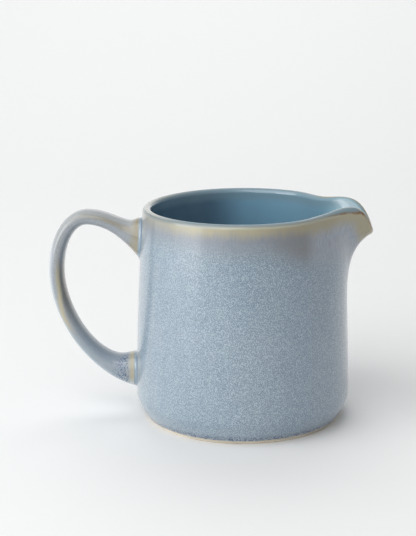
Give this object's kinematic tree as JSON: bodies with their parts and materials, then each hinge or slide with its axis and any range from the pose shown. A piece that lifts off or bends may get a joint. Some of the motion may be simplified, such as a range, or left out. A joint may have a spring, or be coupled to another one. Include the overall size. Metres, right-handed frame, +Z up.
{
  "type": "ceramic pitcher",
  "caption": "Small glazed stoneware pitcher with a straight-sided footed body, a pulled pouring spout and an ear-shaped side handle, for serving milk or cream.",
  "frame": {"origin": "centre of the foot ring, on the surface the pitcher stands on", "axes": "+Z up; +X towards the spout, -X towards the handle; the XZ plane is the pitcher's plane of symmetry"},
  "size_m": [0.1507, 0.1, 0.1016],
  "materials": {
    "clay_body": "bare fired stoneware, seen only at the foot ring",
    "clay_handle": "fired stoneware under the glaze",
    "slip_joint": "slip fillet under its own glaze, lighter along the crease",
    "outer_glaze": "glossy speckled blue-grey reactive glaze that breaks to tan at the rim and edges",
    "handle_glaze": "the same glossy speckled blue-grey glaze, breaking to tan along the arrises",
    "liner_glaze": "glossy smooth teal-blue liner glaze"
  },
  "bodies": {
    "root": {"body": "clay_body", "handle": "clay_handle", "upper_slip_joint": "slip_joint", "lower_slip_joint": "slip_joint", "body_glaze": "outer_glaze", "handle_glaze": "handle_glaze", "liner_glaze": "liner_glaze"}
  },
  "joints": []
}
